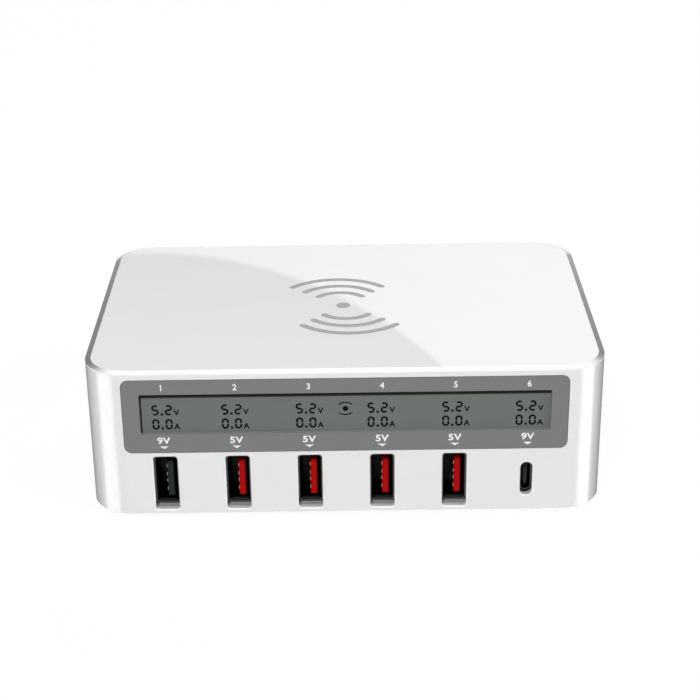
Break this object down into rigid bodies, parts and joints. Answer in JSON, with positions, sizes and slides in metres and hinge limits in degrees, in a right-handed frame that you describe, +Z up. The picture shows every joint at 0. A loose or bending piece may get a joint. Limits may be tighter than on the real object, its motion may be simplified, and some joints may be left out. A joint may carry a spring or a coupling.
{
  "type": "multi-port usb desktop charger",
  "caption": "White desktop charger with rounded corners, a bevelled wireless charging lid, a grey-framed meter display and a row of upright USB sockets under it.",
  "frame": {"origin": "on the table under the middle of the case, at the undersides of the feet", "axes": "+Z up, +X to the right seen from the front, the sockets face -Y"},
  "size_m": [0.14, 0.093, 0.0439],
  "materials": {
    "case_white": "polished",
    "base_white": "fine grain",
    "trim_grey": "satin",
    "lcd_cell": "reflective LCD under a matt polariser",
    "socket_steel": "dark nickel plate",
    "tongue_dark": "satin",
    "tongue_red": "satin",
    "contact_gold": "gold flash",
    "foot_rubber": "matt",
    "screw_steel": "zinc plate",
    "inlet_black": "satin",
    "pin_nickel": "nickel plate",
    "inner_plastic": "plain",
    "elastomer": "plain",
    "board_green": "solder mask",
    "copper": "enamelled copper",
    "ferrite": "plain",
    "can_sleeve": "sleeved",
    "film_yellow": "plain",
    "sink_aluminium": "plain"
  },
  "bodies": {
    "root": {"main_housing": "case_white", "top_cover": "case_white", "base_cover": "base_white", "case_screws": "screw_steel", "board_screws": "screw_steel", "display_trim": "trim_grey", "lcd_glass": "lcd_cell", "lcd_holder": "inner_plastic", "lcd_connectors": "elastomer", "display_board": "board_green", "display_header": "inner_plastic", "usb_c_shell": "socket_steel", "usb_c_tongue": "inlet_black", "usb_c_contacts": "contact_gold", "usb_c_board": "board_green", "port_board": "board_green", "main_board": "board_green", "board_link": "copper", "mains_inlet": "inlet_black", "inlet_pins": "pin_nickel", "fuse": "inner_plastic", "filter_capacitor": "film_yellow", "bridge_rectifier": "inner_plastic", "bulk_capacitors": "can_sleeve", "output_capacitors": "can_sleeve", "primary_heat_sink": "sink_aluminium", "power_transistor": "inner_plastic", "output_heat_sink": "sink_aluminium", "output_rectifier": "inner_plastic", "pad_coil": "copper", "pad_shield": "ferrite", "pad_board": "board_green", "pad_leads": "copper", "converter_coils": "ferrite", "converter_chips": "inner_plastic", "choke_core": "ferrite", "choke_windings": "copper", "transformer_core": "ferrite", "transformer_bobbin": "inner_plastic", "transformer_winding": "copper", "foot_front_left": "foot_rubber", "foot_front_right": "foot_rubber", "foot_back_left": "foot_rubber", "foot_back_right": "foot_rubber", "usb_a_shell_1": "socket_steel", "usb_a_tongue_1": "tongue_dark", "usb_a_contacts_1": "contact_gold", "usb_a_shell_2": "socket_steel", "usb_a_tongue_2": "tongue_red", "usb_a_contacts_2": "contact_gold", "usb_a_shell_3": "socket_steel", "usb_a_tongue_3": "tongue_red", "usb_a_contacts_3": "contact_gold", "usb_a_shell_4": "socket_steel", "usb_a_tongue_4": "tongue_red", "usb_a_contacts_4": "contact_gold", "usb_a_shell_5": "socket_steel", "usb_a_tongue_5": "tongue_red", "usb_a_contacts_5": "contact_gold"}
  },
  "joints": []
}
